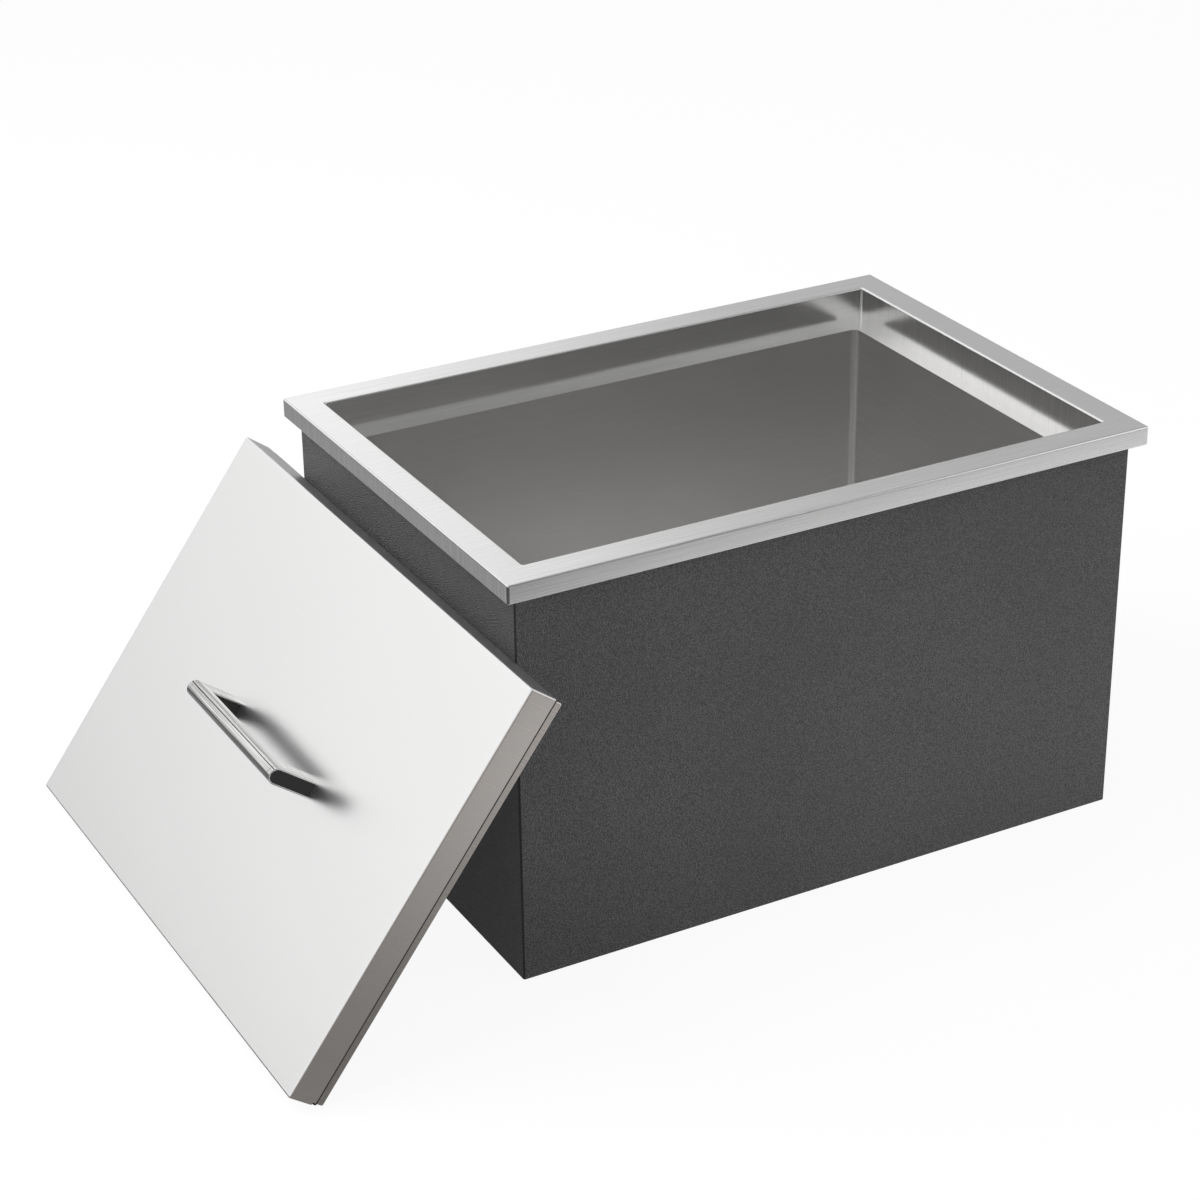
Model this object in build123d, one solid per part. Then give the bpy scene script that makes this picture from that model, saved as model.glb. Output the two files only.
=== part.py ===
from build123d import *
from math import asin, cos, degrees, radians, sin
import os

# A drop-in ice bin, with its lid taken off and leaning on the left end wall.
# Sizes are millimetres. The origin is the middle of the base at ground level.
# X runs along the bin to the right, Y to the back and Z up.

# Clearances
touch_gap = 0.3
close_fit = 0.1

# Rim, the folded frame that hangs on the worktop
bin_length = 508.0
bin_width = 356.0
bin_height = 305.0
rim_width = 23.0
rim_skirt = 14.0
rim_lip = 6.0
rim_sheet = 1.0
rim_bend = 1.4
rim_corner = 1.6
opening_corner = 1.4

# Lid, an outer pan closed by a shallower tray that is filled with foam
lid_clearance = 2.5
lid_skirt = 20.8
lid_depth = 28.0
lid_sheet = 0.8
lid_corner = 1.5
lid_bend = 1.4
lid_hem_corner = 4.0
tray_inset = 1.2
tray_bend = 1.2
tray_wall = 22.0
seal_height = 1.3
seal_inset = 0.4
lid_lean = 53.8
lid_sideways = -6.2

# Handle on the lid, a folded cover over a moulded core
handle_length = 144.0
handle_width = 12.0
handle_height = 36.0
handle_bar = 10.0
handle_leg = 16.0
handle_sheet = 1.0
handle_inner_corner = 1.5
handle_line_from_end = 4.0
handle_line_width = 0.4
handle_line_depth = 0.25
handle_sideways = -6.0
screw_radius = 2.0
screw_reach = 16.0
screw_head_radius = 3.8
screw_head_height = 2.6
screw_slot = 1.2
washer_radius = 7.0
washer_thickness = 1.0

# Outer shell and base pan
shell_inset = 9.0
shell_sheet = 0.8
shell_bend = 1.6
shell_return = 9.0
seam_lap = 16.0
seam_slit = 1.2
seam_rivets = 6
seam_rivet_margin = 24.0
rivet_radius = 1.6
rivet_head_radius = 3.4
rivet_head_height = 1.0
rivet_head_round = 0.8
rivet_tail_radius = 2.4
rivet_tail_height = 1.6
base_recess = 6.0
base_sheet = 0.8

# Tub, the deep inner liner with a floor that falls to the drain
ledge_width = 12.0
tub_sheet = 0.8
tub_corner = 6.0
collar_seat = 1.0
floor_bend = 6.0
floor_height = 32.0
floor_fall = 6.0
floor_border = 5.0
sump_size = 92.0

# Drain through the middle of the floor
drain_flange_radius = 35.0
drain_flange_sheet = 1.8
drain_seat_gap = 1.0
drain_tube_radius = 20.95
drain_bore_radius = 17.5
drain_mouth_radius = 22.0
drain_mouth_depth = 4.0
drain_spigot_radius = 19.05
drain_thread_end = 1.2
drain_bar_width = 3.0
drain_bar_height = 3.0
drain_bar_level = 8.0
drain_bar_root = 1.0
washer_ring = 7.0
top_washer = 1.5
bottom_washer = 2.0
locknut_across_flats = 52.0
locknut_height = 7.0
sleeve_sheet = 1.5
sleeve_room = 1.5

# Stopper in the drain
stopper_depth = 12.0
stopper_taper = 0.8
stopper_head_radius = 25.0
stopper_head_height = 3.2
stopper_edge = 1.0
eye_width = 9.0
eye_height = 9.0
eye_thickness = 4.0
eye_round = 4.0
eye_hole_radius = 1.7
ring_radius = 11.0
ring_wire = 1.2

# Plugs in the foam filling ports of the base
port_spacing = 300.0
port_radius = 10.0
port_head_radius = 13.0
port_head_height = 1.6
port_shank = 5.0
port_wall = 2.0
port_recess = 0.6

# Worked out from the sizes above
opening_length = bin_length - 2 * rim_width
opening_width = bin_width - 2 * rim_width
ledge_top = bin_height - lid_depth
shell_length = bin_length - 2 * shell_inset
shell_width = bin_width - 2 * shell_inset
shell_top = bin_height - rim_sheet
tub_length = opening_length - 2 * ledge_width
tub_width = opening_width - 2 * ledge_width
tub_top = ledge_top
flange_length = opening_length + 2 * (rim_sheet + collar_seat)
flange_width = opening_width + 2 * (rim_sheet + collar_seat)
flange_corner = opening_corner + rim_sheet + collar_seat
base_top = base_recess + base_sheet
sump_level = floor_height - floor_fall
drain_seat = sump_level - top_washer - drain_flange_sheet
drain_seat_radius = drain_flange_radius + drain_seat_gap
drain_hole_radius = drain_tube_radius + touch_gap
washer_outer = drain_tube_radius + touch_gap + washer_ring
locknut_top = drain_seat - tub_sheet - bottom_washer
spigot_top = locknut_top - locknut_height - drain_thread_end
sleeve_inner = locknut_across_flats / 2 / cos(radians(30)) + sleeve_room
sleeve_outer = sleeve_inner + sleeve_sheet
lid_length = opening_length - 2 * lid_clearance
lid_width = opening_width - 2 * lid_clearance
tray_length = lid_length - 2 * tray_inset
tray_width = lid_width - 2 * tray_inset
screw_spacing = handle_length - handle_leg


def slab(length, width, corner, bottom, top):
    """An upright block with rounded corners between two levels."""
    return Pos(0, 0, bottom) * extrude(RectangleRounded(length, width, corner), top - bottom)


def disc(radius, bottom, top):
    """An upright cylinder between two levels."""
    return Pos(0, 0, bottom) * extrude(Circle(radius), top - bottom)


def tube(outer, inner, bottom, top):
    """An upright tube between two levels."""
    return disc(outer, bottom, top) - disc(inner, bottom, top)


def block(length, width, bottom, top):
    """An upright square-cornered block between two levels."""
    return Pos(0, 0, bottom) * extrude(Rectangle(length, width), top - bottom)


def edges_at(shape, level):
    """The edges whose middle lies at a level."""
    return shape.edges().filter_by_position(Axis.Z, level - 0.01, level + 0.01)


def rim_frame():
    """One folded sheet: return lip, skirt, flat rim and the collar that lands on the tub's flange."""
    skirt_end = bin_height - rim_skirt
    frame = slab(bin_length, bin_width, rim_corner, skirt_end, bin_height)
    room_length = bin_length - 2 * rim_sheet
    room_width = bin_width - 2 * rim_sheet
    room = slab(room_length, room_width, rim_corner / 2, skirt_end + rim_sheet, bin_height - rim_sheet)
    lip_length = room_length - 2 * rim_lip
    lip_width = room_width - 2 * rim_lip
    frame -= room + slab(lip_length, lip_width, rim_corner / 2, skirt_end, bin_height - rim_sheet)
    collar_length = opening_length + 2 * rim_sheet
    collar_width = opening_width + 2 * rim_sheet
    frame += slab(collar_length, collar_width, opening_corner + rim_sheet, ledge_top, bin_height)
    frame -= slab(opening_length, opening_width, opening_corner, ledge_top, bin_height)
    frame = fillet(edges_at(frame, bin_height), rim_bend)
    return fillet(edges_at(frame, skirt_end).group_by(SortBy.LENGTH)[-1], rim_bend / 2)


def tub_form(grow, top):
    """The space inside the tub, or with grow the same form offset outwards by a sheet or a clearance."""
    length = tub_length + 2 * grow
    width = tub_width + 2 * grow
    form = slab(length, width, tub_corner + grow, floor_height - grow, top)
    form = fillet(edges_at(form, floor_height - grow), floor_bend + grow)
    fall_length = tub_length - 2 * (floor_bend + floor_border)
    fall_width = tub_width - 2 * (floor_bend + floor_border)
    upper = Pos(0, 0, floor_height - grow) * Rectangle(fall_length, fall_width)
    lower = Pos(0, 0, sump_level - grow) * Rectangle(sump_size, sump_size)
    form += loft([upper, lower], ruled=True)
    return form + disc(drain_seat_radius + grow, drain_seat - grow, floor_height)


def liner():
    """A deep tub with its creased floor, drain seat and a top flange, which is the ledge for the lid."""
    flange = slab(flange_length, flange_width, flange_corner, tub_top - tub_sheet, tub_top)
    tub = tub_form(tub_sheet, tub_top) + flange
    tub -= tub_form(0, tub_top)
    return tub - disc(drain_hole_radius, drain_seat - tub_sheet, drain_seat)


def outer_shell():
    """A sheet folded round the bin, lapped at the back and turned in under the rim."""
    side = shell_length / 2 - shell_sheet / 2
    back = shell_width / 2 - shell_sheet / 2
    lap_line = back - shell_sheet - touch_gap
    fold = FilletPolyline(
        (-seam_lap, lap_line),
        (-seam_slit, lap_line),
        (seam_slit / 2, back),
        (side, back),
        (side, -back),
        (-side, -back),
        (-side, back),
        (-seam_slit, back),
        radius=[shell_sheet, shell_sheet] + 4 * [shell_bend - shell_sheet / 2],
    )
    wrap = extrude(trace(fold, shell_sheet), shell_top)
    inner_length = shell_length - 2 * (shell_sheet + shell_return)
    inner_width = shell_width - 2 * (shell_sheet + shell_return)
    turned_in = slab(shell_length, shell_width, shell_bend, shell_top - shell_sheet, shell_top)
    turned_in -= slab(inner_length, inner_width, shell_bend, shell_top - shell_sheet, shell_top)
    shell = wrap + turned_in
    for level in seam_rivet_levels():
        shell -= seam_stud(rivet_radius + close_fit, 0, shell_sheet * 2 + touch_gap, level)
    return shell


def seam_rivet_levels():
    """Heights of the rivets up the seam."""
    first = base_recess + seam_rivet_margin
    last = bin_height - rim_skirt - seam_rivet_margin
    step = (last - first) / (seam_rivets - 1)
    return [first + step * place for place in range(seam_rivets)]


def seam_stud(radius, start, depth, level):
    """A level pin through the back wall at the seam, from a depth behind the outer face."""
    across = -(seam_slit + seam_lap) / 2
    outline = Plane((across, shell_width / 2 - start, level), z_dir=(0, -1, 0)) * Circle(radius)
    return extrude(outline, depth)


def back_rivets():
    """Blind rivets down the lapped seam at the back, each a domed head, a shank and a set tail."""
    grip = shell_sheet * 2 + touch_gap
    rivets = []
    for level in seam_rivet_levels():
        head = seam_stud(rivet_head_radius, -rivet_head_height, rivet_head_height, level)
        rim_of_head = head.edges().filter_by(GeomType.CIRCLE).sort_by(Axis.Y)[-1]
        head = fillet(rim_of_head, rivet_head_round)
        shank = seam_stud(rivet_radius, 0, grip, level)
        tail = seam_stud(rivet_tail_radius, grip, rivet_tail_height, level)
        rivets.append(head + shank + tail)
    return rivets


def insulation():
    """Foam that fills the space between the tub and the shell."""
    length = shell_length - 2 * (shell_sheet + touch_gap)
    width = shell_width - 2 * (shell_sheet + touch_gap)
    top = shell_top - shell_sheet - touch_gap
    foam = slab(length, width, shell_bend, base_top + touch_gap, top)
    foam -= tub_form(tub_sheet + touch_gap, tub_top)
    upper_length = flange_length + 2 * touch_gap
    upper_width = flange_width + 2 * touch_gap
    foam -= slab(upper_length, upper_width, flange_corner, tub_top - tub_sheet - touch_gap, top)
    foam -= disc(sleeve_outer + touch_gap, base_top, floor_height)
    lap_depth = 2 * shell_sheet + 2 * touch_gap + rivet_tail_height
    lap_room = block(2 * seam_lap + 4 * rivet_radius, 2 * lap_depth, base_top, top)
    foam -= Pos(0, shell_width / 2, 0) * lap_room
    for place in port_places():
        foam -= place * disc(port_radius + touch_gap, base_top, base_top + port_shank)
    return foam


def base_pan():
    """The bottom plate with its edges turned down, set a little above the ground."""
    length = shell_length - 2 * (shell_sheet + close_fit)
    width = shell_width - 2 * (shell_sheet + close_fit)
    pan = slab(length, width, shell_bend, 0, base_top)
    pan = fillet(edges_at(pan, base_top), base_sheet)
    inner_length = length - 2 * base_sheet
    inner_width = width - 2 * base_sheet
    pan -= slab(inner_length, inner_width, shell_bend - base_sheet / 2, 0, base_recess)
    seam_room = block(2 * seam_lap + touch_gap, 2 * (2 * shell_sheet + 2 * touch_gap), 0, base_top)
    pan -= Pos(0, shell_width / 2, 0) * seam_room
    pan -= disc(sleeve_inner, base_recess, base_top)
    for place in port_places():
        pan -= place * disc(port_radius, base_recess, base_top)
    return pan


def port_places():
    """The two foam filling ports, in line along the base."""
    return [Pos(-port_spacing / 2, 0, 0), Pos(port_spacing / 2, 0, 0)]


def port_plugs():
    """Push-in plugs that close the ports, each hollow on its underside."""
    head = disc(port_head_radius, base_recess - port_head_height, base_recess)
    head = fillet(edges_at(head, base_recess - port_head_height), port_recess)
    shank_top = base_recess + port_shank
    shank = disc(port_radius - close_fit, base_recess, shank_top)
    hollow = disc(port_radius - port_wall, base_recess - port_recess, shank_top - port_head_height)
    plug = head + shank - hollow
    return [place * plug for place in port_places()]


def drain_body():
    """The drain: flange, tapered mouth, threaded tail with bars across its bore, and spigot for a pipe."""
    top = sump_level
    mouth_bottom = top - drain_mouth_depth
    outline = Polyline(
        (drain_mouth_radius, top),
        (drain_flange_radius, top),
        (drain_flange_radius, top - drain_flange_sheet),
        (drain_tube_radius, top - drain_flange_sheet),
        (drain_tube_radius, spigot_top),
        (drain_spigot_radius, spigot_top),
        (drain_spigot_radius, 0),
        (drain_bore_radius, 0),
        (drain_bore_radius, mouth_bottom),
        (drain_mouth_radius, top),
    )
    body = revolve(Plane.XZ * make_face(outline), Axis.Z)
    bars = block(2 * drain_bore_radius, drain_bar_width, drain_bar_level, drain_bar_level + drain_bar_height)
    bars += Rot(0, 0, 90) * bars
    bars &= disc(drain_bore_radius + drain_bar_root, 0, top)
    return body + bars


def drain_top_washer():
    """A flat rubber ring between the drain's flange and the tub."""
    return tube(washer_outer, drain_hole_radius, drain_seat, drain_seat + top_washer)


def drain_bottom_washer():
    """A flat rubber ring between the tub and the locknut."""
    return tube(washer_outer, drain_hole_radius, locknut_top, locknut_top + bottom_washer)


def drain_locknut():
    """The hexagonal nut that draws the drain down on its washers."""
    hexagon = RegularPolygon(locknut_across_flats / 2, 6, major_radius=False)
    nut = Pos(0, 0, locknut_top - locknut_height) * extrude(hexagon, locknut_height)
    return nut - disc(drain_tube_radius + close_fit, locknut_top - locknut_height, locknut_top)


def drain_sleeve():
    """A tube that keeps the foam off the locknut, so that it can be reached from below."""
    return tube(sleeve_outer, sleeve_inner, base_top + close_fit, drain_seat - tub_sheet - touch_gap)


def drain_stopper():
    """A tapered rubber stopper with an eye on its head."""
    top = sump_level + touch_gap
    # The taper follows the drain's mouth, one gap inside it, and then runs on down the bore
    neck = drain_bore_radius - touch_gap
    outline = Polyline(
        (0, top - stopper_depth),
        (neck - stopper_taper, top - stopper_depth),
        (neck, top - drain_mouth_depth),
        (drain_mouth_radius - touch_gap, top),
        (stopper_head_radius, top),
        (stopper_head_radius, top + stopper_head_height),
        (0, top + stopper_head_height),
        (0, top - stopper_depth),
    )
    stopper = revolve(Plane.XZ * make_face(outline), Axis.Z)
    head_top = top + stopper_head_height
    stopper = fillet(edges_at(stopper, head_top).filter_by(GeomType.CIRCLE), stopper_edge)
    eye = block(eye_width, eye_thickness, head_top - stopper_edge, head_top + eye_height)
    crown = eye.edges().filter_by(Axis.Y).group_by(Axis.Z)[-1]
    eye = fillet(crown, eye_round)
    hole_outline = Plane((0, 0, eye_level()), z_dir=(0, 1, 0)) * Circle(eye_hole_radius)
    return stopper + (eye - extrude(hole_outline, eye_thickness, both=True))


def eye_level():
    """Height of the hole in the stopper's eye."""
    return sump_level + touch_gap + stopper_head_height + eye_height / 2


def stopper_ring():
    """The pull ring, threaded through the eye and fallen on to the stopper's head."""
    drop = degrees(asin((eye_height / 2 - ring_wire - touch_gap) / (2 * ring_radius)))
    return Pos(0, 0, eye_level()) * Rot(0, drop, 0) * Pos(ring_radius, 0, 0) * Torus(ring_radius, ring_wire)


def lid_place():
    """Where the lid leans: its lower back edge on the ground, its upper back edge on the end wall."""
    angle = radians(lid_lean)
    half = tray_width / 2 - tray_bend
    depth = lid_depth - tray_bend
    wall = -shell_length / 2 - touch_gap
    across = wall - tray_bend - half * cos(angle) - depth * sin(angle)
    up = tray_bend + half * sin(angle) + depth * cos(angle)
    return Pos(across, lid_sideways, up) * Rot(0, -lid_lean, 0)


# The lid's pieces are drawn flat, with the outer face at level 0 and X up the slope


def lid_skin():
    """The outer pan, with a flat face and a folded skirt all round."""
    pan = slab(lid_width, lid_length, lid_corner, -lid_skirt, 0)
    pan = fillet(edges_at(pan, 0), lid_bend)
    inner_width = lid_width - 2 * lid_sheet
    inner_length = lid_length - 2 * lid_sheet
    room = slab(inner_width, inner_length, lid_corner - lid_sheet, -lid_skirt, -lid_sheet)
    room = fillet(edges_at(room, -lid_sheet), lid_bend - lid_sheet)
    pan -= room
    for place in handle_screw_places():
        pan -= place * disc(screw_radius + close_fit, -lid_sheet, 0)
    for waste in hem_corner_waste():
        pan -= waste
    return pan


def hem_corner_waste():
    """What is cut from the hem at the lid's two lower corners, where the skirts end in a quarter circle."""
    size = lid_hem_corner
    depth = lid_corner + lid_sheet
    level = size - lid_skirt
    outline = Pos(size / 2, size / 2) * Rectangle(size, size) - Circle(size)
    side = lid_width / 2
    end = lid_length / 2
    long_hem = Plane((side, end - size, level), x_dir=(0, 1, 0), z_dir=(-1, 0, 0))
    short_hem = Plane((side - size, end - depth, level), x_dir=(1, 0, 0), z_dir=(0, 1, 0))
    waste = extrude(long_hem * outline, depth) + extrude(short_hem * outline, depth)
    waste = mirror(waste, about=Plane.YZ)
    return [waste, mirror(waste, about=Plane.XZ)]


def lid_tray():
    """The inner tray, nested in the pan and standing out below its skirt."""
    top = tray_wall - lid_depth
    tray = slab(tray_width, tray_length, lid_corner, -lid_depth, top)
    tray = fillet(edges_at(tray, -lid_depth), tray_bend)
    inner_width = tray_width - 2 * lid_sheet
    inner_length = tray_length - 2 * lid_sheet
    room = slab(inner_width, inner_length, lid_corner - lid_sheet, lid_sheet - lid_depth, top)
    room = fillet(edges_at(room, lid_sheet - lid_depth), tray_bend - lid_sheet)
    return tray - room


def lid_seal():
    """A thin black bead between the skirt's hem and the tray."""
    outer_width = lid_width - 2 * seal_inset
    outer_length = lid_length - 2 * seal_inset
    bead = slab(outer_width, outer_length, lid_corner, -lid_skirt - seal_height, -lid_skirt)
    inner_width = tray_width + 2 * close_fit
    inner_length = tray_length + 2 * close_fit
    return bead - slab(inner_width, inner_length, lid_corner, -lid_skirt - seal_height, -lid_skirt)


def lid_foam():
    """Foam that fills the lid, with a pocket for each screw head."""
    width = tray_width - 2 * (lid_sheet + touch_gap)
    length = tray_length - 2 * (lid_sheet + touch_gap)
    foam = slab(width, length, lid_corner, lid_sheet + touch_gap - lid_depth, -lid_sheet - touch_gap)
    low_edges = edges_at(foam, lid_sheet + touch_gap - lid_depth)
    foam = fillet(low_edges, tray_bend - lid_sheet)
    pocket_depth = lid_sheet + washer_thickness + screw_head_height + touch_gap
    for place in handle_screw_places():
        foam -= place * disc(washer_radius + touch_gap, -pocket_depth, 0)
    return foam


def handle_place():
    """The handle stands on the lid's face and runs along it."""
    return Pos(0, handle_sideways, 0)


def handle_screw_places():
    """The two screws, one under each leg."""
    return [handle_place() * Pos(0, side * screw_spacing / 2, 0) for side in (-1, 1)]


def bullet(width, height):
    """A bar's outline with straight sides and a round top."""
    radius = width / 2
    outline = Polyline((-radius, height - radius), (-radius, 0), (radius, 0), (radius, height - radius))
    outline += ThreePointArc((radius, height - radius), (0, height), (-radius, height - radius))
    return Plane.XZ * make_face(outline)


def bridge(width, height, leg, length):
    """A bullet bar that is cut away between its two legs."""
    bar = extrude(bullet(width, height), length / 2, both=True)
    gap_height = handle_height - handle_bar
    gap_length = handle_length - 2 * leg
    gap = Pos(0, 0, gap_height / 2) * Box(2 * width, gap_length, gap_height)
    upper_corners = gap.edges().filter_by(Axis.X).group_by(Axis.Z)[-1]
    return bar - fillet(upper_corners, handle_inner_corner)


def handle_cover():
    """The folded cover, open towards the lid, with a fine line pressed in near each end."""
    cover = bridge(handle_width, handle_height, handle_leg, handle_length)
    inner = bullet(handle_width - 2 * handle_sheet, handle_height - handle_sheet)
    cover -= extrude(inner, handle_length, both=True)
    line_width = handle_width - 2 * handle_line_depth
    line = extrude(bullet(2 * handle_width, 2 * handle_height), handle_line_width / 2, both=True)
    line -= extrude(bullet(line_width, handle_height - handle_line_depth), handle_line_width, both=True)
    for side in (-1, 1):
        cover -= Pos(0, side * (handle_length / 2 - handle_line_from_end), 0) * line
    return handle_place() * cover


def handle_core():
    """The moulded core that fills the cover and takes the screws."""
    width = handle_width - 2 * handle_sheet - 2 * close_fit
    height = handle_height - handle_sheet - close_fit
    core = bridge(width, height, handle_leg, handle_length)
    for side in (-1, 1):
        hole = disc(screw_radius + close_fit, 0, screw_reach + close_fit)
        core -= Pos(0, side * screw_spacing / 2, 0) * hole
    return handle_place() * core


def handle_screws():
    """Slotted screws that come up through the lid's face into the core."""
    head_bottom = -lid_sheet - washer_thickness - screw_head_height
    head = disc(screw_head_radius, head_bottom, head_bottom + screw_head_height)
    head -= block(3 * screw_head_radius, screw_slot, head_bottom, head_bottom + screw_slot)
    screw = head + disc(screw_radius, head_bottom + screw_head_height, screw_reach)
    return [place * screw for place in handle_screw_places()]


def handle_washers():
    """Wide washers that spread the screws' pull over the thin face."""
    washer = tube(washer_radius, screw_radius + close_fit, -lid_sheet - washer_thickness, -lid_sheet)
    return [place * washer for place in handle_screw_places()]


def save(name, shape):
    """Write one sub-part; a list holds separate solids of one kind."""
    solids = shape if isinstance(shape, list) else [shape]
    solids = [solid for piece in solids for solid in piece.solids()]
    whole = solids[0] if len(solids) == 1 else Compound(children=solids)
    export_step(whole, "parts/" + name + ".step")


def leaning(shape):
    """Carry a piece of the lid, or each of a list, to where the lid leans."""
    pieces = shape if isinstance(shape, list) else [shape]
    return [lid_place() * piece for piece in pieces]


os.makedirs("parts", exist_ok=True)

bin_pieces = {
    "rim_frame": rim_frame(),
    "liner": liner(),
    "outer_shell": outer_shell(),
    "back_rivets": back_rivets(),
    "insulation": insulation(),
    "base_pan": base_pan(),
    "port_plugs": port_plugs(),
    "drain_body": drain_body(),
    "drain_top_washer": drain_top_washer(),
    "drain_bottom_washer": drain_bottom_washer(),
    "drain_locknut": drain_locknut(),
    "drain_sleeve": drain_sleeve(),
    "drain_stopper": drain_stopper(),
    "stopper_ring": stopper_ring(),
}

lid_pieces = {
    "lid_skin": lid_skin(),
    "lid_tray": lid_tray(),
    "lid_seal": lid_seal(),
    "lid_foam": lid_foam(),
    "handle_cover": handle_cover(),
    "handle_core": handle_core(),
    "handle_screws": handle_screws(),
    "handle_washers": handle_washers(),
}

for name, shape in bin_pieces.items():
    save(name, shape)

for name, shape in lid_pieces.items():
    save(name, leaning(shape))
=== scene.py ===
# %% [markdown]
# A drop-in ice bin hangs by its steel rim in a worktop. Its lid is off and leans on the end wall.
# The solid pieces come ready, at their real size and in their real places, so the work here is
# the camera, the light and the finishes. A finish that is right has to be right at its real
# size, so every length below is in metres and every pattern is laid out in metres too.

# %% Load the solid pieces
import math

import bpy
import numpy as np
from mathutils import Matrix, Vector

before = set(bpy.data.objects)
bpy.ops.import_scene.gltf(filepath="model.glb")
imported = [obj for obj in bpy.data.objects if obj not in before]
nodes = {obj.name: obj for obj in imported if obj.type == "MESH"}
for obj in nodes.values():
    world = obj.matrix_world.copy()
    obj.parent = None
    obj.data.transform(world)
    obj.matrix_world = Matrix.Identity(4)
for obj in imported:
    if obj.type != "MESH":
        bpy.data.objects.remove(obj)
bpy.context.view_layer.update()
print("solid pieces", len(nodes))

# %% [markdown]
# Shader maths is easier to read as a sum than as a web of nodes. Two small classes allow that.
# Tree holds one node tree, and its method add makes every node in it: the node's settings first,
# then the values or links of its sockets. Wire wraps one output socket. Writing a * b + 1 on two
# of them adds the Math nodes for it, and 1 - mask works as well. Colours and vectors aren't sums
# of this kind: they go through Mix and Vector Math nodes, which keep all three parts.


# %% A tree that adds nodes, and a socket that takes part in sums
class Tree:
    """One node tree, of a finish or of the room, emptied and ready for its nodes."""

    def __init__(self, node_tree):
        self.node_tree = node_tree
        node_tree.nodes.clear()

    def add(self, kind, settings, inputs, output=None):
        """Add one node: its settings first, then the values or links of its sockets.

        Gives the output of that name or number, or nothing for a node that closes the tree.
        """
        node = self.node_tree.nodes.new(kind)
        for name, value in settings.items():
            setattr(node, name, value)
        for name, value in inputs.items():
            if isinstance(value, Wire):
                self.node_tree.links.new(value.socket, node.inputs[name])
            else:
                node.inputs[name].default_value = value
        return None if output is None else Wire(self, node.outputs[output])


class Wire:
    """One output socket of a node. Each operator on it adds one Math node and gives its output."""

    def __init__(self, tree, socket):
        self.tree = tree
        self.socket = socket

    def join(self, operation, first, second=0.0):
        """The output of a Math node that works on first and second, in that order."""
        return self.tree.add("ShaderNodeMath", {"operation": operation}, {0: first, 1: second}, 0)

    def __add__(self, other):
        return self.join("ADD", self, other)

    def __radd__(self, other):
        return self.join("ADD", other, self)

    def __sub__(self, other):
        return self.join("SUBTRACT", self, other)

    def __rsub__(self, other):
        return self.join("SUBTRACT", other, self)

    def __mul__(self, other):
        return self.join("MULTIPLY", self, other)

    def __rmul__(self, other):
        return self.join("MULTIPLY", other, self)

    def __gt__(self, other):
        return self.join("GREATER_THAN", self, other)

    def __lt__(self, other):
        return self.join("LESS_THAN", self, other)

    def __abs__(self):
        return self.join("ABSOLUTE", self)


def larger(first, second):
    """The larger of two patterns, place by place."""
    return first.join("MAXIMUM", first, second)


def smaller(first, second):
    """The smaller of two patterns, place by place."""
    return first.join("MINIMUM", first, second)


# %% [markdown]
# Every finish starts the same way: a new material, its node tree and one Principled shader. The
# numbers that are the same all over a surface are set on the shader itself. Only what changes
# from place to place is linked.


# %% Start and close a finish
def new_finish(name):
    """A material and its empty tree."""
    material = bpy.data.materials.new(name)
    material.use_nodes = True
    return material, Tree(material.node_tree)


def finish_surface(tree, constants, links):
    """Close a finish with a Principled shader, from its plain numbers and its linked patterns."""
    shader = tree.add("ShaderNodeBsdfPrincipled", {}, {**constants, **links}, "BSDF")
    tree.add("ShaderNodeOutputMaterial", {}, {"Surface": shader})


# %% [markdown]
# A pattern needs a place to start from. Object coordinates give it in metres, in the piece's own
# frame, so a pattern stays on its piece when the piece moves. These few helpers measure along a
# direction, make noise, turn a value into a smooth step, mix two colours and raise a bump.


# %% Helpers for patterns
def place_of(tree):
    """The point on the piece, in metres, in the piece's own frame."""
    return tree.add("ShaderNodeTexCoord", {}, {}, "Object")


def facing_of(tree):
    """The way the surface faces, as a vector of length 1 in the piece's own frame."""
    return tree.add("ShaderNodeTexCoord", {}, {}, "Normal")


def along(vector, direction):
    """How far a vector reaches along a direction: the sum of the products of their three parts."""
    settings = {"operation": "DOT_PRODUCT"}
    return vector.tree.add("ShaderNodeVectorMath", settings, {0: vector, 1: direction}, "Value")


def noise(vector, scale, detail, roughness=0.5):
    """A soft random pattern between 0 and 1 with scale lumps to the metre.

    Each of the finer layers that detail counts is roughness times as strong as the one before.
    """
    values = {"Vector": vector, "Scale": scale, "Detail": detail, "Roughness": roughness}
    return vector.tree.add("ShaderNodeTexNoise", {"noise_dimensions": "3D"}, values, 0)


def rise(value, start, end, before, after):
    """A smooth change from before to after while value goes from start to end.

    With t the share of the way covered, the change is 3 t squared minus 2 t cubed.
    """
    settings = {"interpolation_type": "SMOOTHSTEP"}
    values = {"Value": value, "From Min": start, "From Max": end, "To Min": before, "To Max": after}
    return value.tree.add("ShaderNodeMapRange", settings, values, "Result")


def mix_colours(share, first, second, how="MIX"):
    """First plus share times the change from first to what how makes of both.

    A plain colour gets the fourth number that a colour socket asks for, and a link stays as it is.
    """
    first, second = (
        colour if isinstance(colour, Wire) else (*colour, 1.0) for colour in (first, second)
    )
    settings = {"data_type": "RGBA", "blend_type": how}
    return share.tree.add("ShaderNodeMix", settings, {0: share, 6: first, 7: second}, 2)


def bump_from(height, metres):
    """A Normal that tilts as a height pattern from 0 to 1 would, standing up to some metres."""
    values = {"Height": height, "Distance": metres, "Strength": 1.0}
    return height.tree.add("ShaderNodeBump", {}, values, "Normal")


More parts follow.
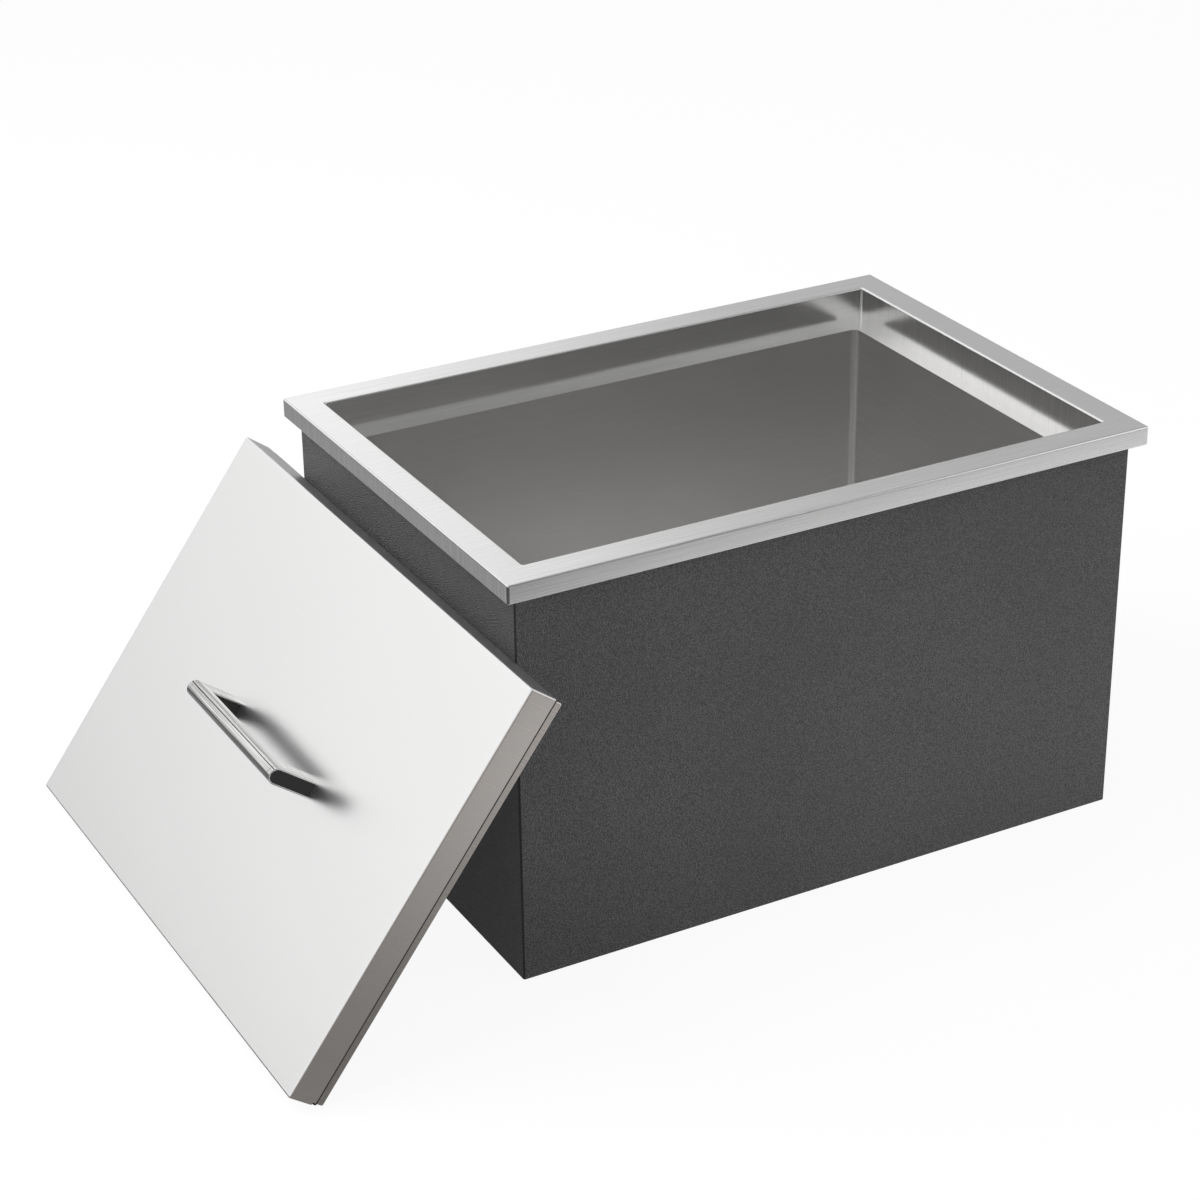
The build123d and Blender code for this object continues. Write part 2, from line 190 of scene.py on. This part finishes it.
# %% [markdown]
# Brushed steel is rolled flat, rubbed with an abrasive belt in one direction, and only then
# folded. So the fine lines follow the sheet round each bend. On a skirt folded down along the
# belt's direction they run along the skirt, and on one folded across it they run down it. The
# pattern is a noise that is squeezed hard across the lines and stretched along them. On a skirt,
# which the way the surface faces picks out, depth takes the place of the direction that was
# folded. The noise is laid out twice: broader lines streak the colour, and finer grooves tilt
# the surface, which spreads a reflection across the lines.

# %% Lines that follow a folded sheet
LINES_ACROSS = 900.0  # to the metre, streaks in the colour
GROOVES_ACROSS = 3300.0  # to the metre, grooves in the surface
LINES_ALONG = 12.0  # to the metre, so each line is some 80 mm long
SKIRT_FACING = 0.7  # a skirt faces sideways by more than this


def brushed_lines(tree, sheet, lines_across):
    """Where a point lies among the lines of one folded sheet, for a noise to read.

    The vector is (position along the belt times few, position across it times many, nothing).
    On a skirt folded down along the belt, depth stands in for the position across it, and on
    one folded down at the end of the belt's run, for the position along it.
    """
    belt, across, out = sheet
    place = place_of(tree)
    facing = facing_of(tree)
    run = along(place, belt)
    side = along(place, across)
    depth = along(place, out)
    folded_along = abs(along(facing, across)) > SKIRT_FACING
    folded_across = abs(along(facing, belt)) > SKIRT_FACING
    flat_run = run * (1 - folded_across) + depth * folded_across
    flat_side = side * (1 - folded_along) + depth * folded_along
    values = {0: flat_run * LINES_ALONG, 1: flat_side * lines_across, 2: 0.0}
    return tree.add("ShaderNodeCombineXYZ", {}, values, 0)


# %% Brushed steel
END_EXTRA = 0.8  # how much more the lines show on the skirts at the ends of the belt's run
CLOUDS_TO_THE_METRE = 9.0
CLOUD_WEIGHT = 0.35
STREAK_ROUGHNESS = 0.12  # how much rougher a light streak is than a dark one


def brushed_steel(
    name, sheet, dark, light, contrast, roughness, groove_depth, painted_end_tint=(1, 1, 1)
):
    """A steel finish for a sheet, whose three directions are belt, across and out.

    Streaks are the fine noise less a half, a little stronger on the skirts at the ends of the
    belt's run. The share of the light colour is a half plus the streaks times contrast plus the
    clouds, and those end skirts are then multiplied by a painted reflection tint.
    """
    material, tree = new_finish(name)
    belt = sheet[0]
    fine = noise(brushed_lines(tree, sheet, LINES_ACROSS), 1.0, detail=4.0, roughness=0.65)
    grooves = noise(brushed_lines(tree, sheet, GROOVES_ACROSS), 1.0, detail=0.0)
    clouds = noise(place_of(tree), CLOUDS_TO_THE_METRE, detail=2.0)
    at_the_ends = abs(along(facing_of(tree), belt)) > SKIRT_FACING
    streaks = (fine - 0.5) * (1 + at_the_ends * END_EXTRA)
    share = 0.5 + streaks * contrast + (clouds - 0.5) * CLOUD_WEIGHT
    streaked = mix_colours(share, dark, light)
    links = {
        # The end skirts take a painted reflection tint.
        "Base Color": mix_colours(at_the_ends, streaked, painted_end_tint, "MULTIPLY"),
        "Roughness": roughness + streaks * STREAK_ROUGHNESS,
        "Normal": bump_from(grooves, groove_depth),
    }
    finish_surface(tree, {"Metallic": 1.0}, links)
    return material


# %% [markdown]
# The lid leans, so its sheet isn't level. Its own directions are worked out from the angle of
# the lean, and the brushing then follows the lid and not the room.

# %% The directions of the sheets
LEAN = math.radians(53.8)
UP_SLOPE = (math.cos(LEAN), 0.0, math.sin(LEAN))
OUT_OF_LID = (-math.sin(LEAN), 0.0, math.cos(LEAN))
LEVEL_SHEET = ((1, 0, 0), (0, 1, 0), (0, 0, 1))
LID_SHEET = ((0, 1, 0), UP_SLOPE, OUT_OF_LID)
UPRIGHT_WALL = ((1, 0, 0), (0, 0, 1), (0, 1, 0))
print("lid faces", [round(value, 4) for value in OUT_OF_LID])

# %% [markdown]
# Five sheets are brushed. They could all take one steel, but they differ in how far they look
# polished: the rim and the handle's cover are the shiniest and show the strongest lines, and the
# lid, its tray and the tub are softer. The end skirts of the lid and its tray take a warm tint, a
# painted reflection that gives them the shade that the near one shows.

# %% The steel finishes
# a painted reflection tint for the end skirts of the lid and its tray
PAINTED_END_REFLECTION = (1.0, 0.945, 0.91)
rim_steel = brushed_steel(
    "rim_steel",
    LEVEL_SHEET,
    dark=(0.86, 0.86, 0.86),
    light=(1.0, 1.0, 0.995),
    contrast=2.4,
    roughness=0.20,
    groove_depth=1.0e-5,
)
lid_steel = brushed_steel(
    "lid_steel",
    LID_SHEET,
    dark=(0.95, 0.95, 0.945),
    light=(1.0, 1.0, 0.995),
    contrast=0.9,
    roughness=0.30,
    groove_depth=2.0e-5,
    painted_end_tint=PAINTED_END_REFLECTION,
)
tub_steel = brushed_steel(
    "tub_steel",
    UPRIGHT_WALL,
    dark=(0.76, 0.755, 0.75),
    light=(0.90, 0.895, 0.885),
    contrast=0.8,
    roughness=0.32,
    groove_depth=1.0e-5,
)
tray_steel = brushed_steel(
    "tray_steel",
    LID_SHEET,
    dark=(0.62, 0.61, 0.60),
    light=(0.90, 0.89, 0.87),
    contrast=1.0,
    roughness=0.24,
    groove_depth=1.0e-5,
    painted_end_tint=PAINTED_END_REFLECTION,
)
handle_steel = brushed_steel(
    "handle_steel",
    LID_SHEET,
    dark=(0.30, 0.295, 0.29),
    light=(1.0, 0.995, 0.99),
    contrast=2.4,
    roughness=0.12,
    groove_depth=0.5e-5,
)
print("nodes in one steel finish", len(rim_steel.node_tree.nodes))

# %% [markdown]
# The outer wall is sprayed with a dark textured paint. It flows into shallow pebbles about a
# millimetre across before it sets. A cell pattern gives their outlines, a noise makes them
# uneven, and a slow change of shade keeps a wide wall from looking printed. Their valleys are
# darker, a painted shade. Each tight fold, such as the wall's upright corner, takes a thin line of
# painted shade. A tight fold faces none of the three main directions squarely, so the largest of
# those three shares finds it.

# %% Textured dark paint
PEBBLES_TO_THE_METRE = 1100.0
PEBBLE_FALL = 1.3  # how fast a pebble falls off from its middle
PEBBLE_UNEVENNESS = 0.9
PEBBLE_HEIGHT = 0.0010
PAINTED_SHADE_BY_HEIGHT = 1.1
SHADE_OFFSET = 0.22
SHADE_DRIFT = 0.3  # the slow change over the wall
FOLD_BEGINS = 0.93  # below this the surface is taken to be on a fold
FOLD_ENDS = 0.985  # above this it is taken to be flat
PAINT_ROUGHNESS = 0.38
PAINT_ROUGHNESS_SWING = 0.22


def textured_paint(name, dark, light, painted_fold_shade):
    """Dark paint with a pebbled surface and a line of painted shade where it crosses a tight fold.

    Height is 1 minus the distance from a pebble's middle times its fall, plus the uneven noise
    less a half. The share of the light colour is the height, scaled and moved down, plus the
    slow noise less a half, so the low places between pebbles take a painted shade.
    """
    material, tree = new_finish(name)
    place = place_of(tree)
    uneven = noise(place, 900.0, detail=4.0, roughness=0.6)
    slow = noise(place, 6.0, detail=2.0)
    cells = {"Vector": place, "Scale": PEBBLES_TO_THE_METRE}
    from_middle = tree.add("ShaderNodeTexVoronoi", {"feature": "F1"}, cells, "Distance")
    height = 1 - from_middle * PEBBLE_FALL + (uneven - 0.5) * PEBBLE_UNEVENNESS
    # The low places between the pebbles take a painted shade.
    share = height * PAINTED_SHADE_BY_HEIGHT - SHADE_OFFSET + (slow - 0.5) * SHADE_DRIFT
    facing = facing_of(tree)
    squarely = abs(along(facing, (1, 0, 0)))
    for axis in ((0, 1, 0), (0, 0, 1)):
        squarely = larger(squarely, abs(along(facing, axis)))
    painted_fold_mask = rise(squarely, FOLD_BEGINS, FOLD_ENDS, before=1.0, after=0.0)
    links = {
        # Each tight fold takes a thin line of painted shade.
        "Base Color": mix_colours(painted_fold_mask, mix_colours(share, dark, light), painted_fold_shade),
        "Roughness": PAINT_ROUGHNESS + uneven * PAINT_ROUGHNESS_SWING,
        "Normal": bump_from(height, PEBBLE_HEIGHT),
    }
    finish_surface(tree, {"IOR": 1.6, "Specular IOR Level": 0.8}, links)
    return material


shell_paint = textured_paint(
    "shell_paint",
    dark=(0.040, 0.040, 0.041),
    light=(0.235, 0.236, 0.242),
    # the colour of the painted shade along each tight fold
    painted_fold_shade=(0.003, 0.003, 0.003),
)
print("pebbles", round(1000 / PEBBLES_TO_THE_METRE, 2), "mm across")

# %% [markdown]
# The small pieces are moulded plastic, rubber, turned steel and foam. Each has its own fine
# grain: moulded plastic a faint spark-eroded texture, rubber a soft dusty one, foam its cells.
# One function makes them all, because only the colours and the size of the grain differ.

# %% Grained plain materials
FINE_WEIGHT = 0.6
SLOW_WEIGHT = 0.4
SLOW_SCALE = 0.05  # the slow pattern's lumps for each lump of the fine grain
GRAIN_ROUGHNESS = 0.2


def grained(name, dark, light, scale, roughness, depth, metallic=0.0):
    """A finish with one fine random grain in its colour, its roughness and its surface.

    The share of the light colour is the weighted sum of a fine noise and a slow one.
    """
    material, tree = new_finish(name)
    place = place_of(tree)
    fine = noise(place, scale, detail=4.0, roughness=0.6)
    slow = noise(place, scale * SLOW_SCALE, detail=2.0)
    share = fine * FINE_WEIGHT + slow * SLOW_WEIGHT
    links = {
        "Base Color": mix_colours(share, dark, light),
        "Roughness": roughness + (fine - 0.5) * GRAIN_ROUGHNESS,
        "Normal": bump_from(fine, depth),
    }
    finish_surface(tree, {"Metallic": metallic}, links)
    return material


GRAINED = {
    # name: dark, light, lumps to the metre, roughness, depth in metres, metallic
    "black_plastic": ((0.010, 0.010, 0.011), (0.024, 0.024, 0.025), 1800, 0.42, 2e-5, 0.0),
    "black_rubber": ((0.014, 0.014, 0.014), (0.032, 0.031, 0.031), 900, 0.66, 4e-5, 0.0),
    "foam_cells": ((0.62, 0.50, 0.26), (0.83, 0.73, 0.46), 700, 0.85, 3e-4, 0.0),
    "drain_steel": ((0.46, 0.46, 0.46), (0.62, 0.62, 0.61), 1200, 0.26, 4e-6, 1.0),
    "rivet_metal": ((0.50, 0.50, 0.50), (0.66, 0.66, 0.66), 1500, 0.38, 8e-6, 1.0),
    "screw_steel": ((0.42, 0.43, 0.44), (0.58, 0.58, 0.56), 1300, 0.34, 6e-6, 1.0),
}
plain = {name: grained(name, *numbers) for name, numbers in GRAINED.items()}
print("grained finishes", ", ".join(plain))

# %% [markdown]
# Each solid piece takes its finish by name. A piece that had none would render a flat grey, so
# the cell stops if the list and the pieces don't agree.

# %% Give every solid piece its finish
FINISHES = {
    "rim_frame": rim_steel,
    "liner": tub_steel,
    "outer_shell": shell_paint,
    "base_pan": shell_paint,
    "back_rivets": plain["rivet_metal"],
    "insulation": plain["foam_cells"],
    "port_plugs": plain["black_plastic"],
    "drain_body": plain["drain_steel"],
    "drain_top_washer": plain["black_rubber"],
    "drain_bottom_washer": plain["black_rubber"],
    "drain_locknut": plain["black_plastic"],
    "drain_sleeve": plain["black_plastic"],
    "drain_stopper": plain["black_rubber"],
    "stopper_ring": plain["drain_steel"],
    "lid_skin": lid_steel,
    "lid_tray": tray_steel,
    "lid_seal": plain["black_rubber"],
    "lid_foam": plain["foam_cells"],
    "handle_cover": handle_steel,
    "handle_core": plain["black_plastic"],
    "handle_screws": plain["screw_steel"],
    "handle_washers": plain["screw_steel"],
}
assert set(FINISHES) == set(nodes)
for name, material in FINISHES.items():
    mesh = nodes[name].data
    mesh.materials.clear()
    mesh.materials.append(material)
print("finished", len(FINISHES), "pieces")

# %% [markdown]
# The camera and the steel don't have to see the same floor and room. The kind of each ray tells
# them apart, and these two masks serve the floor and the room alike.


# %% Masks for the rays that look
def rays_that_look(tree):
    """Two masks: rays from the camera or through glass, and rays off a shiny surface."""
    straight = tree.add("ShaderNodeLightPath", {}, {}, "Is Camera Ray")
    through = tree.add("ShaderNodeLightPath", {}, {}, "Is Transmission Ray")
    mirrored = tree.add("ShaderNodeLightPath", {}, {}, "Is Glossy Ray")
    return larger(straight, through), mirrored


# %% [markdown]
# The bin stands on a pale studio floor. It is nearly white to the camera, yet it still takes the
# shadow, because only part of what the camera sees there is glow. Steel faces that stand upright
# mirror the floor beside them, and for them the floor's glow carries painted light and shade. It
# falls off from a light grey on the right to dark on the left, as a floor does that is lit from
# one side, and a painted shade makes it darker in front of the bin and behind it. That is what
# gives the folded skirts their greys. Farther out it is a middle grey again, and pale a long way
# behind, so that no skirt turns black when the bin is seen from another side.

# %% The floor's sheet
FLOOR_HALF = 6.0
floor_points = np.array([(-1, -1, 0), (1, -1, 0), (1, 1, 0), (-1, 1, 0)], float) * FLOOR_HALF
floor_mesh = bpy.data.meshes.new("studio_floor")
floor_mesh.from_pydata([tuple(point) for point in floor_points], [], [(0, 1, 2, 3)])
floor = bpy.data.objects.new("studio_floor", floor_mesh)
bpy.context.scene.collection.objects.link(floor)
print("floor", 2 * FLOOR_HALF, "m wide")

# %% What steel sees of the floor
floor_paint, tree = new_finish("studio_floor")
place = place_of(tree)
to_the_right = along(place, (1, 0, 0))
to_the_back = along(place, (0, 1, 0))
away_from_the_lens = along(place, (0.1, 1, 0))
# Painted light and shade in the floor's glow, which only steel sees.
far_left = rise(to_the_right, -0.77, -0.57, before=0.02, after=0.18)
middle = rise(to_the_right, -0.43, 0.24, before=0.0, after=0.58)
behind = rise(to_the_back, 0.05, 0.45, before=0.0, after=0.11)
beside = rise(to_the_back, -0.55, 0.25, before=1.0, after=0.0)
in_front = rise(away_from_the_lens, -0.76, -0.65, before=0.15, after=1.0)
near = (far_left + middle * beside + behind) * in_front
front_yard = rise(away_from_the_lens, -1.5, -1.1, before=0.40, after=0.0)
far_out_left = rise(to_the_right, -1.15, -0.85, before=0.35, after=0.0)
front_half = rise(to_the_back, 0.1, 0.5, before=1.0, after=0.0)
left_yard = far_out_left * front_half
back_yard = rise(to_the_back, 1.6, 2.6, before=0.0, after=0.80)
in_steel = larger(near, larger(larger(front_yard, left_yard), back_yard))
print("nodes so far", len(floor_paint.node_tree.nodes))

# %% The floor's finish
GLOW_SHARE = 0.92  # of what the camera sees there
WHITE = (1, 1, 1, 1)
PALE = (0.93, 0.93, 0.93, 1)
seen, mirrored = rays_that_look(tree)
matt = tree.add("ShaderNodeBsdfDiffuse", {}, {"Color": PALE}, 0)
glow_strength = seen + mirrored * in_steel
glow = tree.add("ShaderNodeEmission", {}, {"Color": WHITE, "Strength": glow_strength}, 0)
glow_mask = seen * GLOW_SHARE + mirrored
mixed = tree.add("ShaderNodeMixShader", {}, {0: glow_mask, 1: matt, 2: glow}, 0)
tree.add("ShaderNodeOutputMaterial", {}, {"Surface": mixed})
floor_mesh.materials.append(floor_paint)
print("floor's nodes", len(floor_paint.node_tree.nodes))

# %% [markdown]
# The light is what a small product studio has: a bright room and three soft boxes. Steel shows
# what surrounds it more than its own colour. A plain white room would make every fold vanish, so
# in steel the room is brightest behind, overhead and on the left, dimmer low down and to the
# right, and a shaded grey on the front side, with a window at the right front and a thin dark
# gap between two walls. It never gets brighter than white. The light that falls on matt surfaces
# comes evenly from the whole room and from the boxes. Steel shows the room and not the boxes,
# because a box would leave a hot spot on the lid.

# %% What steel sees of the room
world = bpy.data.worlds.new("studio")
bpy.context.scene.world = world
world.use_nodes = True
tree = Tree(world.node_tree)
seen, mirrored = rays_that_look(tree)
direction = tree.add("ShaderNodeTexCoord", {}, {}, "Generated")
up = along(direction, (0, 0, 1))
to_the_right = along(direction, (1, 0, 0))
to_the_left = along(direction, (-1, 0, 0))
to_the_front = along(direction, (0, -1, 0))
low_wall = rise(up, -0.06, 0.32, before=0.42, after=1.08)
right_wall = rise(to_the_right, 0.33, 0.52, before=1.02, after=0.46)
horizon = rise(up, 0.0, 0.10, before=0.85, after=1.0)
left_wall = rise(to_the_left, 0.50, 0.62, before=0.90, after=1.45)
front_shade = rise(to_the_right, -0.20, 0.30, before=0.50, after=0.28)
open_front = rise(to_the_front, -0.60, -0.10, before=1.0, after=0.0)
front_wall = open_front + front_shade * (1 - open_front)
overhead = rise(up, 0.78, 0.92, before=0.0, after=1.0)
GAP_MIDDLE = 0.045
gap = 1 - rise(abs(to_the_right - GAP_MIDDLE), 0.05, 0.09, before=0.92, after=0.0)
walls = horizon * low_wall * right_wall * left_wall * larger(front_wall, overhead) * gap
window_right = rise(to_the_right, 0.50, 0.55, before=0.0, after=1.0)
window_front = rise(to_the_front, 0.0, 0.2, before=0.0, after=1.0)
window = window_right * window_front
in_steel = smaller(larger(walls, window), 1.0)
print("nodes so far", len(world.node_tree.nodes))

# %% The room's light
ROOM_STRENGTH = 0.62  # for every ray but those that look
strength = seen * (1.0 - ROOM_STRENGTH) + mirrored * (in_steel - ROOM_STRENGTH) + ROOM_STRENGTH
room = tree.add("ShaderNodeBackground", {}, {"Color": WHITE, "Strength": strength}, 0)
tree.add("ShaderNodeOutputWorld", {}, {"Surface": room})
print("room strength", ROOM_STRENGTH)


# %% Soft boxes
def soft_box(name, place, aim, width, height, watts):
    """A rectangular area lamp at place that points at aim and isn't mirrored in shiny surfaces.

    Its direction is aim minus place, and the lamp is turned so that its -Z lies along it.
    """
    lamp = bpy.data.lights.new(name, "AREA")
    lamp.shape = "RECTANGLE"
    lamp.size = width
    lamp.size_y = height
    lamp.energy = watts
    box = bpy.data.objects.new(name, lamp)
    box.location = place
    direction = np.array(aim, float) - np.array(place, float)
    box.rotation_euler = Vector(direction).to_track_quat("-Z", "Y").to_euler()
    box.visible_glossy = False
    bpy.context.scene.collection.objects.link(box)
    print(name, watts, "W, from", round(float(np.linalg.norm(direction)), 2), "m")


soft_box("key_box", (-1.4, 0.1, 2.2), aim=(-0.1, 0, 0.15), width=1.4, height=1.4, watts=32.0)
soft_box("fill_box", (2.2, -1.6, 1.4), aim=(0, 0, 0.15), width=1.6, height=1.2, watts=8.0)
soft_box("side_box", (-1.5, 1.2, 1.3), aim=(-0.25, 0, 0.2), width=0.9, height=0.9, watts=22.0)

# %% [markdown]
# The camera sees the bin as the photograph does. Its place and aim come from a fit of the bin's
# own edges. The lens is long, so the edges hardly draw together.

# %% Camera
AZIMUTH, ELEVATION, ROLL = (math.radians(value) for value in (-28.47, 26.48, 0.71))
CAMERA_PLACE = (-1.0219, -1.7169, 1.1506)
FRAME_PIXELS = 1200
FOCAL_PIXELS = 3029.4
SENSOR = 36.0  # mm, as wide as the frame
FARTHEST = 50.0  # the camera shows things up to here


def camera_turn(azimuth, elevation, roll):
    """The camera's three axes as columns: right, up and backwards, from its angles.

    Forward is (minus sine of azimuth, cosine of azimuth) times the cosine of elevation, and
    minus the sine of elevation upwards. Right is square to forward and to the upright, up is
    square to both, and roll turns right and up about forward.
    """
    forward = np.array(
        [
            -math.sin(azimuth) * math.cos(elevation),
            math.cos(azimuth) * math.cos(elevation),
            -math.sin(elevation),
        ]
    )
    right = np.cross(forward, (0, 0, 1))
    right = right / np.linalg.norm(right)
    up = np.cross(right, forward)
    turned_right = right * math.cos(roll) - up * math.sin(roll)
    turned_up = up * math.cos(roll) + right * math.sin(roll)
    return np.column_stack([turned_right, turned_up, -forward])


lens = bpy.data.cameras.new("camera")
lens.sensor_fit = "HORIZONTAL"
lens.sensor_width = SENSOR
lens.lens = FOCAL_PIXELS / FRAME_PIXELS * SENSOR
lens.clip_end = FARTHEST
camera = bpy.data.objects.new("camera", lens)
placing = np.eye(4)
placing[:3, :3] = camera_turn(AZIMUTH, ELEVATION, ROLL)
placing[:3, 3] = CAMERA_PLACE
camera.matrix_world = Matrix(placing.tolist())
bpy.context.scene.collection.objects.link(camera)
bpy.context.scene.camera = camera
print("lens", round(lens.lens, 2), "mm")

# %% [markdown]
# The Standard view shows a colour as it is written.

# %% Finish
bpy.context.scene.view_settings.view_transform = "Standard"
